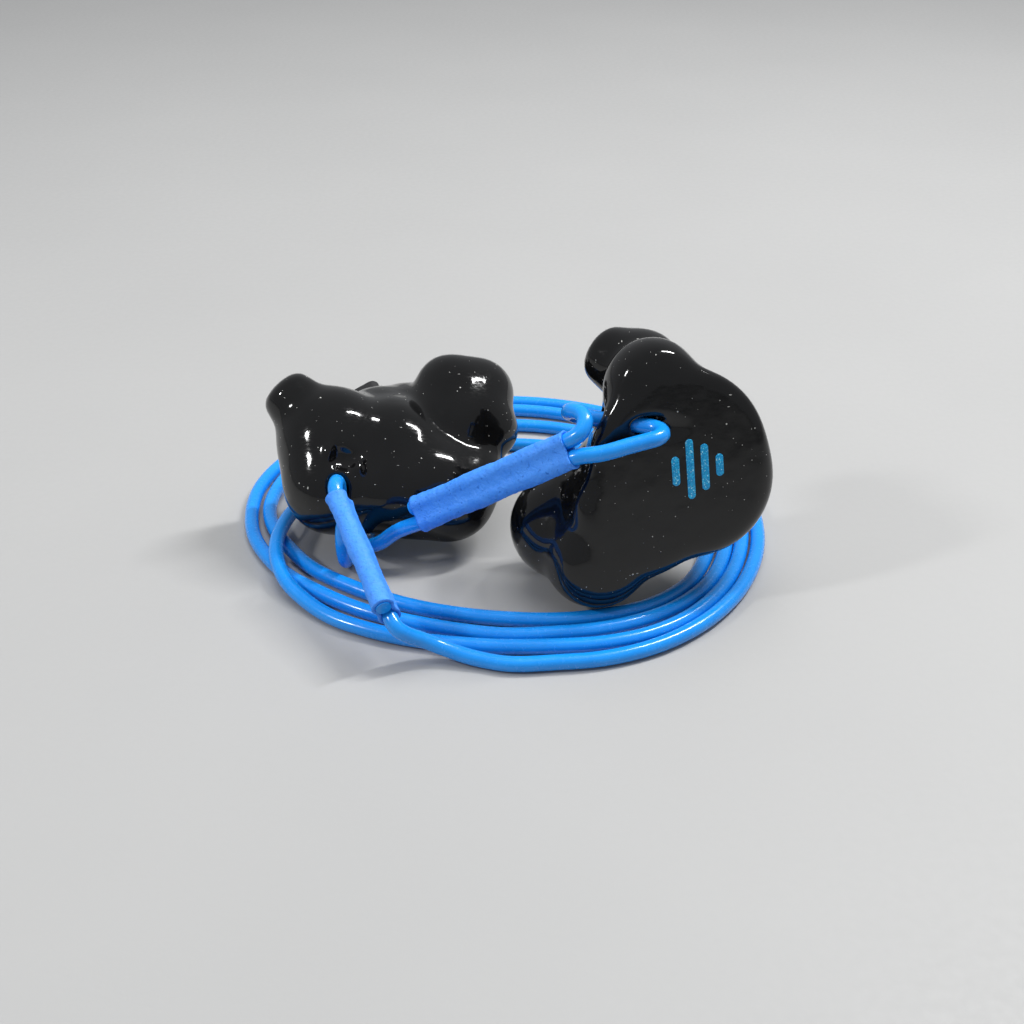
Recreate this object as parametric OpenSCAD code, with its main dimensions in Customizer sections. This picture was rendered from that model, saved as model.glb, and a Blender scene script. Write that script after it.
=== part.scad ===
// A pair of custom-moulded in-ear monitors on one blue neck cord, as they lie put down on a table.
// The cord is wound into a flat ring; each end is looped through an eye in one shell and clamped by a sleeve.
// Millimetres. Origin at the middle of the ring, on the table; +Z up, +X towards the right ear.

/* [Cord and ring] */
// Diameter of the solid neck cord
cord_d = 1.8; // [1.6:0.1:1.9]
// Outer diameter of the wound ring
coil_outer_d = 66; // [65:0.5:68]
// Inner diameter of the wound ring
coil_inner_d = 49.5; // [49:0.5:50]
// Height of the wound ring, one layer of cord
coil_height = 2; // [1.8:0.1:2]

/* [Sleeves] */
// Heat-shrink wall around the two clamped runs of cord
sleeve_wall = 0.3; // [0.2:0.05:0.4]
// Distance between the two clamped runs, centre to centre
sleeve_pitch = 1.9; // [1.9:0.05:2.1]

/* [Shells] */
// Wall of the hollow shells
shell_wall = 1.2; // [0.8:0.1:1.3]
// Thickness of the faceplates
plate_t = 1.6; // [1.4:0.1:1.8]
// Rounding of the faceplate's outer edge
plate_round = 0.9; // [0.4:0.1:1.1]
// Diameter of the eye that the cord passes through
eye_d = 2.4; // [2.3:0.1:2.6]
// Material kept around the eye inside the shell
eye_boss_wall = 1.1; // [0.8:0.1:1.2]
// Depth of the emblem inlays
inlay_depth = 0.3; // [0.2:0.05:0.5]

/* [Sound path] */
// Outer diameter of the sound tubes and of the canal bores
tube_d = 1.6; // [1.4:0.1:1.6]
// Inner diameter of the sound tubes
tube_id = 1.1; // [0.9:0.1:1.2]
// Distance between the two canal bores
bore_pitch = 2.3; // [2.1:0.1:2.4]
// Length cut off each canal tip to leave its flat end
tip_cut = 1.1; // [0.9:0.1:1.3]
// Length of the acoustic dampers
damper_len = 1.5; // [1:0.1:2]

/* [Cable sockets] */
// Diameter of each socket hole
pin_hole_d = 0.8; // [0.7:0.02:0.84]
// Depth of each socket hole
pin_depth = 2.4; // [1.8:0.1:2.6]
// Distance between the two socket holes
pin_pitch = 2; // [1.8:0.1:2.2]

/* [Hidden] */
$fn = 48;

cord_r = cord_d / 2;
tube_r = tube_d / 2;
eye_r = eye_d / 2;
eps = 0.01;

// Where each ear lies: the middle of its faceplate and how it is turned. The left ear is mirrored.
right_at = [17, -19.2, 19.2];
right_turn = [77, -3, 12];
left_at = [-10.5, 3.9, 7.2];
left_turn = [177, 28, -128];

// Every shell is a blend of round lobes, [x, y, z, radius], in its own frame: the faceplate is the
// plane z = 0 and looks along +z, and the canal leaves towards +y and -z. The first lobes are the
// canal's, which is solid but for its bores.
blend = 1.4;
right_lobes = [
  [-1.3, 9.8, -13.2, 3.4], [1.7, 8.2, -11.2, 4.8],
  [0.8, 8.2, -4, 5.3], [2.6, 0.3, -0.4, 10.2], [5.1, -3.4, -4.7, 9.1], [-2, -5.8, -4, 8.1],
  [-6.9, -11.3, -4.6, 5.9], [-2.6, -1.5, -6.4, 5], [-9.2, -8.9, -10.2, 6.4], [-6.3, -4.7, -8.5, 4.8]
];
left_lobes = [
  [-6, 11.4, -14.4, 3.5],
  [-7.2, 5.6, -9.8, 7.1], [-11.9, 2.6, -8.3, 6.2], [-0.5, 5.4, -4.5, 5.4], [8.1, -0.2, -5.9, 3.9],
  [10.2, -3.4, -3.6, 4.2], [4.6, -4.2, -4.4, 4.9], [6.1, -7.2, -2.2, 3.7], [-4.8, -5.3, -3.8, 6.2],
  [-0.9, -8.7, -1.6, 4.5], [-6, -3.2, -3.6, 6.5], [-5.1, -9.3, -1.7, 4.9], [-10.2, 0, -6.3, 4.9],
  [3.5, 5, -1.3, 5], [7.4, -2.6, -4.6, 4.7], [4.5, -1.5, -1, 6]
];
right_canal_lobes = 2;
left_canal_lobes = 1;
// Points well inside each shell, from which its skin is reached
right_heart = [3.5, -1, -4.5];
left_heart = [-5.5, 0.5, -4.5];

// Eye of each shell, where the cord goes in and out
right_eye = [[0.2, 4.4, 0], [-6.6, 5.6, -3.8]];
left_eye = [[-13.2, -1.4, -12.9], [-14.8, 0.6, -2.9]];
dimple_r = 3.4;
dimple_out = 1.6;
mouth_r = 2.6;
mouth_out = 1.5;
mouth_in = 1;

// Canal: where its axis starts inside and the point of its tip
right_canal = [[5.3, 4.9, -5.9], [-3.3, 11.3, -15.5]];
left_canal = [[-7, 6.4, -10.4], [-5.4, 14.1, -16.5]];
damper_from_tip = 3;

// Emblem: four rounded level bars
emblem_heights = [3.4, 7, 5.4, 2.6];
emblem_bar = 0.9;
emblem_step = 1.7;
right_emblem_at = [4.4, -0.9];
left_emblem_at = [-5.5, -3.5];

// Balanced-armature drivers and the crossover board, with the middle of each
low_size = [8, 6, 4];
high_size = [5, 3.9, 2.8];
board_size = [7, 5, 0.8];
driver_round = 0.4;
right_low_at = [4, -4.2, -7.6];
right_high_at = [3.5, 2, -6.5];
right_board_at = [5, -1, -3.2];
left_low_at = [-8, 4, -8.5];
left_high_at = [-6, -4, -5.2];
left_board_at = [-6, -4, -3];
left_low_turn = 210;
left_high_turn = -90;
left_board_turn = 90;

// Sound tubes from each driver's spout into its bore
right_low_path = [[7.3, -1, -7.6], [7.8, 1.6, -6.6], [7.3, 4.2, -5.8]];
right_high_path = [[3.4, 3.9, -6.5], [3.3, 4.5, -6.9]];
left_low_path = [[-4.5, 6, -8.5], [-3.8, 6.6, -9.3], [-4.2, 7.4, -10.8]];
left_high_path = [
  [-6, -1.5, -5.2], [-6.2, 2, -5.3], [-6.8, 6, -5.3], [-7.2, 9, -6.4], [-7.7, 9.6, -9.2]
];
right_low_reach = [13.5, 11];
right_high_reach = [11.8, 9.5];
left_low_reach = [7, 4.8];
left_high_reach = [7, 4.8];

// Cable sockets: the middle of the outer face and the heading out of the shell, in the shell's xy plane
socket_size = [3, 5.4, 2.8];
right_socket_at = [12.9, -8.5, -5];
right_socket_turn = -33;
left_socket_at = [3, 11.4, -4.3];
left_socket_turn = 60;

wire_r = 0.25;
right_wire_paths = [
  [[10.3, -6.8, -5], [10.2, -5, -4.2], [9.5, -3, -3.5], [8.5, -1.5, -3.2]],
  [[3, -3.5, -3.2], [3, -4.5, -3.8], [3, -5, -5.6]],
  [[4, 1.5, -3.2], [4, 2.2, -3.6], [4, 2.4, -5.1]]
];
left_wire_paths = [
  [[1.5, 8.8, -4.3], [-0.3, 6.3, -4.4], [-2.5, 3, -4.2], [-3.8, 0.5, -3.4], [-4.4, -1, -3]],
  [[-7.8, -0.9, -3], [-8.6, 0.2, -3.8], [-9, 1.6, -5.2], [-9, 2.6, -6.8]],
  [[-6, -7, -3], [-6, -7.5, -3.8], [-6, -7.2, -4.8], [-6, -6.2, -5.2]]
];

// Sleeves: their two ends and the heading from one clamped run to the other
right_sleeve_ends = [[-10, -14.6, 10.2], [7, -21.2, 22.4]];
right_sleeve_across = [-0.37, 0.48, 0.79];
left_sleeve_ends = [[-19.4, -13.8, 11.4], [-13, -29.2, 6.6]];
left_sleeve_across = [0.32, 0.32, -0.89];

// Cord routes between the sleeves, the eyes and the ring, by hand
right_loop_out = [[8.4, -20.2, 24.5], [8.4, -18.4, 25.2], [7.8, -16.6, 24.8], [8.2, -15.6, 23.8]];
right_loop_back = [[17.4, -19.9, 23.6], [16.8, -21.4, 23.6], [14.5, -22, 23.2], [10.5, -22, 22.4]];
left_loop_out = [[-20, -12.6, 12.6]];
left_loop_back = [
  [-19.6, -7.6, 1.5], [-19.4, -10.2, 1.1], [-19.3, -13, 2.8], [-19.3, -14.2, 6], [-19.2, -14, 9.2]
];
lead_route = [
  [-12.8, -13.6, 7.2], [-15, -12.4, 4.4], [-16.6, -10.4, 2.2], [-17, -7.4, 1], [-17, -4, 1],
  [-17.6, 0, 1], [-19, 4, 1], [-20.8, 8, 1], [-22.6, 11.6, 1]
];
drop_route = [[-11.7, -29.8, 4.9], [-10, -30, 3.7], [-7.4, -30, 2.3], [-4, -30.3, 1.1]];

function unit(v) = v / norm(v);
function ones(list) = [for (item = list) 1];

// Signed distance to the blended lobes, below zero inside
function field(p, lobes) =
  -ln([for (b = lobes) exp(-blend * (norm(p - [b[0], b[1], b[2]]) - b[3]))] * ones(lobes)) / blend;

// Distance from a point inside along a heading to the skin, less an inset
reach_gain = 1.15;
reach_steps = 18;
function reach(from, way, lobes, inset, far = 0, left = reach_steps) =
  left == 0 ? far
  : reach(from, way, lobes, inset, far - reach_gain * (field(from + far * way, lobes) + inset), left - 1);

function skin_point(from, way, lobes, inset) = from + reach(from, way, lobes, inset) * way;

// One ring of skin points level with height z
function level_ring(heart, z, inset, lobes, count) = [
  for (i = [0:count - 1]) let (a = 360 * i / count)
    skin_point([heart[0], heart[1], z], [cos(a), sin(a), 0], lobes, inset)
];

// Rings of skin points below the heart, down to its lowest point
function bowl_rings(heart, inset, lobes, count, rows) = [
  for (j = [1:rows - 1]) let (dip = 90 * j / rows) [
    for (i = [0:count - 1]) let (a = 360 * i / count)
      skin_point(heart, [cos(a) * cos(dip), sin(a) * cos(dip), -sin(dip)], lobes, inset)
  ]
];

// Closed solid through a stack of equal rings, with a point closing each end
module stack(rings, first, last) {
  count = len(rings[0]);
  rows = len(rings);
  points = concat([for (ring = rings) each ring], [first, last]);
  polyhedron(points, concat(
    [for (i = [0:rows - 2], j = [0:count - 1]) let (k = (j + 1) % count)
      each [[i * count + j, i * count + k, (i + 1) * count + k],
            [i * count + j, (i + 1) * count + k, (i + 1) * count + j]]],
    [for (j = [0:count - 1]) [rows * count, (j + 1) % count, j]],
    [for (j = [0:count - 1])
      [rows * count + 1, (rows - 1) * count + j, (rows - 1) * count + (j + 1) % count]]));
}

// Smooth curve through hand-set points, its slope at each weighed by how far off the neighbours lie
function slope(p, i) =
  let (a = p[max(i - 1, 0)], b = p[i], c = p[min(i + 1, len(p) - 1)], h = norm(b - a), k = norm(c - b))
  h == 0 || k == 0 ? unit(c - a) : (k * unit(b - a) + h * unit(c - b)) / (h + k);
function spline(p, steps) = concat(
  [for (i = [0:len(p) - 2], s = [0:steps - 1])
    let (t = s / steps, chord = norm(p[i + 1] - p[i]))
      p[i] + (3 * t * t - 2 * t * t * t) * (p[i + 1] - p[i])
        + chord * t * (1 - t) * ((1 - t) * slope(p, i) - t * slope(p, i + 1))],
  [p[len(p) - 1]]);

// Carries a side vector along a path without twisting
function turned(v, a, b) =
  let (c = cross(a, b)) unit(v + cross(c, v) + cross(c, cross(c, v)) / (1 + a * b));
function headings(p) =
  [for (i = [0:len(p) - 1]) unit(p[min(i + 1, len(p) - 1)] - p[max(i - 1, 0)])];
function first_side(t) = unit(cross(t, abs(t[2]) < 0.8 ? [0, 0, 1] : [1, 0, 0]));
function sides(t) = [
  for (i = 0, v = first_side(t[0]); i < len(t);
    i = i + 1, v = i < len(t) ? turned(v, t[i - 1], t[i]) : v) v
];

// Rings of points round a path, square to it
function rings_along(path, r, count) =
  let (t = headings(path), v = sides(t)) [
    for (i = [0:len(path) - 1]) let (w = cross(v[i], t[i])) [
      for (j = [0:count - 1]) path[i] + r * (cos(360 * j / count) * v[i] + sin(360 * j / count) * w)
    ]
  ];

// Round solid cord swept along a path
module sweep(path, r, count) {
  stack(rings_along(path, r, count), path[0], path[len(path) - 1]);
}

// Round pipe swept along a path, its inner skin running back to the start of the outer one
module pipe(path, r, hole_r, count) {
  inner = rings_along(path, hole_r, count);
  rings = concat(rings_along(path, r, count), [for (i = [len(path) - 1:-1:0]) inner[i]]);
  rows = len(rings);
  polyhedron([for (ring = rings) each ring],
    [for (i = [0:rows - 1], j = [0:count - 1])
      let (k = (j + 1) % count, next = (i + 1) % rows)
        each [[i * count + j, i * count + k, next * count + k],
              [i * count + j, next * count + k, next * count + j]]]);
}

// Stands its children on a point, heading to another
module aim(from, to) {
  v = to - from;
  translate(from) rotate([0, acos(v[2] / norm(v)), atan2(v[1], v[0])]) children();
}

// Cylinder between two points, longer by extra at both ends
module rod(from, to, r, extra = 0) {
  aim(from, to) translate([0, 0, -extra]) cylinder(h = norm(to - from) + 2 * extra, r = r);
}

module in_right_ear() { translate(right_at) rotate(right_turn) children(); }
module in_left_ear() { translate(left_at) rotate(left_turn) mirror([1, 0, 0]) children(); }

// A point of an ear's own frame in the model's frame
function spin(p, a) =
  let (x = [p[0], p[1] * cos(a[0]) - p[2] * sin(a[0]), p[1] * sin(a[0]) + p[2] * cos(a[0])],
    y = [x[0] * cos(a[1]) + x[2] * sin(a[1]), x[1], x[2] * cos(a[1]) - x[0] * sin(a[1])])
  [y[0] * cos(a[2]) - y[1] * sin(a[2]), y[0] * sin(a[2]) + y[1] * cos(a[2]), y[2]];
function right_point(p) = right_at + spin(p, right_turn);
function left_point(p) = left_at + spin([-p[0], p[1], p[2]], left_turn);

// Ways along a canal
function canal_way(canal) = unit(canal[1] - canal[0]);
function canal_side(canal) = unit(cross(canal_way(canal), [0, 0, 1]));
function bore_point(canal, side, from_tip) =
  canal[1] - from_tip * canal_way(canal) + side * bore_pitch / 2 * canal_side(canal);

// ---------- shell and faceplate ----------
skin_count = 48;
skin_rows = 17;
cavity_count = 36;
cavity_rows = 10;
wall_levels = [0, 0.8, 1.7, 2.6];
// The cavity starts a little above the shell's rim, so that it opens there cleanly
cavity_brim = 0.5;
cavity_shoulder = 1.5;
// How far cutting tools run past what they cut
bore_over = 6;
boss_over = 3;
cut_over = 1;
tip_block_h = 5;
tip_block_r = 6;
canal_bore_length = 15.2;

module moulded_body(lobes, heart) {
  walls = [for (drop = wall_levels) level_ring(heart, -plate_t - drop, 0, lobes, skin_count)];
  middle = level_ring(heart, heart[2], 0, lobes, skin_count);
  rings = concat(walls, [middle], bowl_rings(heart, 0, lobes, skin_count, skin_rows));
  stack(rings, [heart[0], heart[1], -plate_t], skin_point(heart, [0, 0, -1], lobes, 0));
}

module cavity(lobes, heart) {
  walls = [for (z = [-plate_t + cavity_brim, -plate_t - cavity_shoulder])
    level_ring(heart, z, shell_wall, lobes, cavity_count)];
  middle = level_ring(heart, heart[2], shell_wall, lobes, cavity_count);
  rings = concat(walls, [middle], bowl_rings(heart, shell_wall, lobes, cavity_count, cavity_rows));
  stack(rings, [heart[0], heart[1], -plate_t + cavity_brim],
    skin_point(heart, [0, 0, -1], lobes, shell_wall));
}

module socket_block(at, turn) {
  translate(at) rotate([0, 0, turn]) translate([-socket_size[0], -socket_size[1] / 2, -socket_size[2] / 2])
    cube(socket_size);
}

module eye_bore(eye) {
  run = norm(eye[1] - eye[0]);
  rod(eye[0], eye[1], eye_r, bore_over);
  // flared mouths, round about the cord's axis
  aim(eye[0], eye[1]) translate([0, 0, -mouth_out])
    cylinder(h = mouth_out + mouth_in, r1 = mouth_r, r2 = eye_r);
  aim(eye[0], eye[1]) translate([0, 0, run - mouth_in])
    cylinder(h = mouth_out + mouth_in, r1 = eye_r, r2 = mouth_r);
}

module shell(lobes, canal_lobes, heart, eye, canal, socket_at, socket_turn) {
  inner = [for (i = [canal_lobes:len(lobes) - 1]) lobes[i]];
  color("#101114") difference() {
    moulded_body(lobes, heart);
    difference() {
      cavity(inner, heart);
      rod(eye[0], eye[1], eye_r + eye_boss_wall, boss_over);
    }
    eye_bore(eye);
    socket_block(socket_at, socket_turn);
    for (side = [-1, 1])
      rod(bore_point(canal, side, canal_bore_length), bore_point(canal, side, 0), tube_r);
    aim(canal[1] - tip_cut * canal_way(canal), canal[1]) cylinder(h = tip_block_h, r = tip_block_r);
  }
}

module faceplate(lobes, heart, eye, emblem_at) {
  edge = [[1, 0], [0.6, 0.08], [0.3, 0.29], [0.1, 0.56], [0, 1]];
  low = level_ring(heart, -plate_t, 0, lobes, skin_count);
  top = [for (e = edge)
    level_ring(heart, -plate_round * e[0], plate_round * e[1], lobes, skin_count)];
  rings = [for (i = [len(top) - 1:-1:0]) top[i]];
  color("#15161a") difference() {
    stack(concat(rings, [low]), [heart[0], heart[1], 0], [heart[0], heart[1], -plate_t]);
    eye_bore(eye);
    translate([eye[0][0], eye[0][1], dimple_out]) sphere(r = dimple_r);
    emblem_bars(emblem_at);
  }
}

module emblem_bars(at) {
  for (i = [0:len(emblem_heights) - 1]) {
    h = emblem_heights[i] - emblem_bar;
    translate([at[0] + (i - (len(emblem_heights) - 1) / 2) * emblem_step, at[1], -inlay_depth]) {
      translate([-emblem_bar / 2, -h / 2, 0]) cube([emblem_bar, h, inlay_depth]);
      for (end = [-1, 1]) translate([0, end * h / 2, 0]) cylinder(h = inlay_depth, d = emblem_bar);
    }
  }
}

// ---------- inside each ear ----------
tube_sides = 12;
wire_sides = 8;

module can(at, size, turn) {
  spout_length = 0.3;
  spout_d = 0.9;
  translate(at) rotate([0, 0, turn]) {
    cube(size - [0, 2, 2] * driver_round, center = true);
    cube(size - [2, 0, 2] * driver_round, center = true);
    cube(size - [2, 2, 0] * driver_round, center = true);
    translate([-size[0] / 2, 0, 0]) rotate([0, -90, 0]) cylinder(h = spout_length, d = spout_d);
  }
}

module crossover(at, turn) {
  chip = [1.6, 0.9, 0.6];
  chip_step = 2.1;
  chip_row = 1;
  color("#1f6b3a") translate(at) rotate([0, 0, turn]) {
    cube(board_size, center = true);
    for (i = [-1, 0, 1]) translate([i * chip_step, chip_row, (board_size[2] + chip[2]) / 2])
      cube(chip, center = true);
  }
}

module sound_tube(path, canal, side, reach_in) {
  ends = [for (d = reach_in) bore_point(canal, side, d)];
  color("#d8dce0") pipe(spline(concat(path, ends), 3), tube_r, tube_id / 2, tube_sides);
}

module damper(canal, side) {
  from = bore_point(canal, side, damper_from_tip + damper_len);
  to = bore_point(canal, side, damper_from_tip);
  cup_r = 0.5;
  mesh_t = 0.3;
  color("#c9a227") difference() {
    rod(from, to, tube_r);
    aim(from, to) translate([0, 0, -eps]) cylinder(h = damper_len - mesh_t, r = cup_r);
  }
}

module socket(at, turn) {
  color("#26282c") difference() {
    socket_block(at, turn);
    for (side = [-1, 1])
      translate(at) rotate([0, 0, turn]) translate([-pin_depth, side * pin_pitch / 2, 0])
        rotate([0, 90, 0]) cylinder(h = pin_depth + cut_over, d = pin_hole_d);
  }
}

module wires(paths) {
  color("#b03028") for (path = paths) sweep(spline(path, 3), wire_r, wire_sides);
}

// ---------- cord and sleeves ----------
function run_point(ends, across, side, k) = ends[k] + side * sleeve_pitch / 2 * unit(across);

// A straight stretch, with a point near each end so that the bends beyond don't reach into it
bend_guard = 1.5;
function straight(from, to) =
  let (way = unit(to - from)) [from, from + bend_guard * way, to - bend_guard * way, to];
function run(ends, across, side, order) =
  straight(run_point(ends, across, side, order[0]), run_point(ends, across, side, order[1]));

module sleeve(ends, across) {
  stadium_r = cord_r + sleeve_wall;
  color("#5aa0fa") difference() {
    hull() for (side = [-1, 1])
      rod(run_point(ends, across, side, 0), run_point(ends, across, side, 1), stadium_r);
    for (side = [-1, 1])
      rod(run_point(ends, across, side, 0), run_point(ends, across, side, 1), cord_r, cut_over);
  }
}

cord_sides = 8;

module cord_tube(points) {
  color("#2d96f0") sweep(spline(points, 2), cord_r, cord_sides);
}

right_loop_points = concat(
  run(right_sleeve_ends, right_sleeve_across, 1, [0, 1]),
  right_loop_out,
  straight(right_point(right_eye[1]), right_point(right_eye[0])),
  right_loop_back,
  run(right_sleeve_ends, right_sleeve_across, -1, [1, 0]));
left_loop_points = concat(
  run(left_sleeve_ends, left_sleeve_across, -1, [1, 0]),
  left_loop_out,
  straight(left_point(left_eye[0]), left_point(left_eye[1])),
  left_loop_back,
  run(left_sleeve_ends, left_sleeve_across, 1, [0, 1]));

module cord_coil() {
  r = coil_height / 2;
  color("#2d96f0") rotate_extrude($fn = 96) {
    for (x = [coil_inner_d / 2 + r, coil_outer_d / 2 - r]) translate([x, r]) circle(r = r, $fn = 32);
    translate([coil_inner_d / 2 + r, 0]) square([(coil_outer_d - coil_inner_d) / 2 - coil_height, coil_height]);
  }
}
module cord_lead() {
  cord_tube(concat([run_point(right_sleeve_ends, right_sleeve_across, -1, 0)], lead_route));
}
module cord_drop() {
  cord_tube(concat([run_point(left_sleeve_ends, left_sleeve_across, 1, 1)], drop_route));
}
module right_loop() { cord_tube(right_loop_points); }
module left_loop() { cord_tube(left_loop_points); }
module right_sleeve() { sleeve(right_sleeve_ends, right_sleeve_across); }
module left_sleeve() { sleeve(left_sleeve_ends, left_sleeve_across); }

// ---------- right ear ----------
module right_shell() {
  in_right_ear() shell(right_lobes, right_canal_lobes, right_heart, right_eye, right_canal,
    right_socket_at, right_socket_turn);
}
module right_faceplate() {
  in_right_ear() faceplate(right_lobes, right_heart, right_eye, right_emblem_at);
}
module right_emblem() { color("#35b5e8") in_right_ear() emblem_bars(right_emblem_at); }
module right_low_driver() { color("#b9bcc2") in_right_ear() can(right_low_at, low_size, 0); }
module right_high_driver() { color("#b9bcc2") in_right_ear() can(right_high_at, high_size, 0); }
module right_crossover() { in_right_ear() crossover(right_board_at, 0); }
module right_low_tube() { in_right_ear() sound_tube(right_low_path, right_canal, 1, right_low_reach); }
module right_high_tube() { in_right_ear() sound_tube(right_high_path, right_canal, -1, right_high_reach); }
module right_low_damper() { in_right_ear() damper(right_canal, 1); }
module right_high_damper() { in_right_ear() damper(right_canal, -1); }
module right_socket() { in_right_ear() socket(right_socket_at, right_socket_turn); }
module right_wires() { in_right_ear() wires(right_wire_paths); }

// ---------- left ear ----------
module left_shell() {
  in_left_ear() shell(left_lobes, left_canal_lobes, left_heart, left_eye, left_canal,
    left_socket_at, left_socket_turn);
}
module left_faceplate() { in_left_ear() faceplate(left_lobes, left_heart, left_eye, left_emblem_at); }
module left_emblem() { color("#35b5e8") in_left_ear() emblem_bars(left_emblem_at); }
module left_low_driver() { color("#b9bcc2") in_left_ear() can(left_low_at, low_size, left_low_turn); }
module left_high_driver() { color("#b9bcc2") in_left_ear() can(left_high_at, high_size, left_high_turn); }
module left_crossover() { in_left_ear() crossover(left_board_at, left_board_turn); }
module left_low_tube() { in_left_ear() sound_tube(left_low_path, left_canal, 1, left_low_reach); }
module left_high_tube() { in_left_ear() sound_tube(left_high_path, left_canal, -1, left_high_reach); }
module left_low_damper() { in_left_ear() damper(left_canal, 1); }
module left_high_damper() { in_left_ear() damper(left_canal, -1); }
module left_socket() { in_left_ear() socket(left_socket_at, left_socket_turn); }
module left_wires() { in_left_ear() wires(left_wire_paths); }

cord_coil();
cord_lead();
cord_drop();
left_loop();
right_loop();
left_sleeve();
right_sleeve();
right_shell();
right_faceplate();
right_emblem();
right_low_driver();
right_high_driver();
right_crossover();
right_low_tube();
right_high_tube();
right_low_damper();
right_high_damper();
right_socket();
right_wires();
left_shell();
left_faceplate();
left_emblem();
left_low_driver();
left_high_driver();
left_crossover();
left_low_tube();
left_high_tube();
left_low_damper();
left_high_damper();
left_socket();
left_wires();
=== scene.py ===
# A pair of glossy black custom-moulded in-ear monitors looped and clamped onto a wound blue neck cord.
import math
from itertools import product

import bpy
import numpy as np
from mathutils import Euler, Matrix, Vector, noise


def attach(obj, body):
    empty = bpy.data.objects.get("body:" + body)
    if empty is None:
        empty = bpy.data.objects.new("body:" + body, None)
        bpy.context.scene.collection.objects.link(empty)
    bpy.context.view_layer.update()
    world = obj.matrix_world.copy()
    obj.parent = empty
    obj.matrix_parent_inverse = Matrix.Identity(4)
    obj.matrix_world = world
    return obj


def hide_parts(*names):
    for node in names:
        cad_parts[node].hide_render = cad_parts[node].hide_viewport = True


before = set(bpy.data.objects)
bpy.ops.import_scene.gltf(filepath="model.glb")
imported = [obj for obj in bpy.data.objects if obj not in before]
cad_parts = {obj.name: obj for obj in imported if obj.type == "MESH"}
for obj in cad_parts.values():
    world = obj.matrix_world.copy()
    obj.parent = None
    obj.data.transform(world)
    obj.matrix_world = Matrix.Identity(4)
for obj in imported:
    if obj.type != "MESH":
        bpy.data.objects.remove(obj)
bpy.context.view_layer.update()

MM = 0.001
rng = np.random.default_rng(7)

# ---------- camera ----------
CAMERA_TILT = 31.5
CAMERA_DISTANCE = 180 * MM
CAMERA_TARGET = Vector((0, 0, 1.5 * MM))
LENS = 49.1
SENSOR = 36
SHIFT_X = 0.0063
cam_data = bpy.data.cameras.new("camera")
camera = bpy.data.objects.new("camera", cam_data)
bpy.context.collection.objects.link(camera)
bpy.context.scene.camera = camera
tilt = math.radians(CAMERA_TILT)
camera.location = CAMERA_TARGET + CAMERA_DISTANCE * Vector((0, -math.cos(tilt), math.sin(tilt)))
camera.rotation_euler = (math.pi / 2 - tilt, 0, 0)
cam_data.lens = LENS
cam_data.sensor_width = SENSOR
cam_data.shift_x = SHIFT_X
cam_data.clip_start = 0.005
cam_data.clip_end = 20

# ---------- where the ears lie, as in the CAD model (millimetres) ----------
RIGHT_AT = np.array([17, -19.2, 19.2])
RIGHT_TURN = (77, -3, 12)
LEFT_AT = np.array([-10.5, 3.9, 7.2])
LEFT_TURN = (177, 28, -128)


def turn_matrix(degrees):
    return np.array(Euler([math.radians(a) for a in degrees], "XYZ").to_matrix())


class Ear:
    """One ear's own frame: faceplate at z = 0 looking along +z. The left ear is mirrored in x."""

    def __init__(self, at, degrees, mirror):
        self.at = at
        self.matrix = turn_matrix(degrees)
        self.flip = np.array([-1 if mirror else 1, 1, 1])

    def world(self, p):
        return self.at + (np.asarray(p, float) * self.flip) @ self.matrix.T


right = Ear(RIGHT_AT, RIGHT_TURN, False)
left = Ear(LEFT_AT, LEFT_TURN, True)
RIGHT_EYE = np.array([[0.2, 4.4, 0], [-6.6, 5.6, -3.8]])
LEFT_EYE = np.array([[-13.2, -1.4, -12.9], [-14.8, 0.6, -2.9]])

# ---------- the cord: one strand from the first cut end to the last ----------
CORD_D = 1.8
SLEEVE_PITCH = 1.9
SLEEVE_WALL = 0.3
SLEEVES = {
    "right": (np.array([[-10, -14.6, 10.2], [7, -21.2, 22.4]]), np.array([-0.37, 0.48, 0.79])),
    "left": (np.array([[-19.4, -13.8, 11.4], [-13, -29.2, 6.6]]), np.array([0.32, 0.32, -0.89])),
}
BEND_GUARD = 1.5


def unit(v):
    return np.asarray(v, float) / np.linalg.norm(v)


def straight(start, end):
    way = unit(end - start)
    return [start, start + BEND_GUARD * way, end - BEND_GUARD * way, end]


def run(name, side, order, trim=(0, 0)):
    """A clamped run from one sleeve end to the other, less what bends away before each end."""
    ends, across = SLEEVES[name]
    off = side * SLEEVE_PITCH / 2 * unit(across)
    way = unit(ends[order[1]] - ends[order[0]])
    return straight(ends[order[0]] + off + trim[0] * way, ends[order[1]] + off - trim[1] * way)


def smooth_path(points, step):
    """Cubic curve through the points, its slope at each weighed by how far off the neighbours lie."""
    p = np.array(points, float)
    chord = np.linalg.norm(np.diff(p, axis=0), axis=1)
    ways = np.diff(p, axis=0) / chord[:, None]
    slopes = np.vstack([ways[:1], np.zeros((len(p) - 2, 3)), ways[-1:]])
    h, k = chord[:-1, None], chord[1:, None]
    slopes[1:-1] = (k * ways[:-1] + h * ways[1:]) / (h + k)
    out = []
    for i, c in enumerate(chord):
        t = np.linspace(0, 1, max(2, round(c / step)), endpoint=False)[:, None]
        blend = 3 * t**2 - 2 * t**3
        bend = (1 - t) * slopes[i] - t * slopes[i + 1]
        out.append(p[i] + blend * (p[i + 1] - p[i]) + c * t * (1 - t) * bend)
    return np.vstack(out + [p[-1:]])


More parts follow.
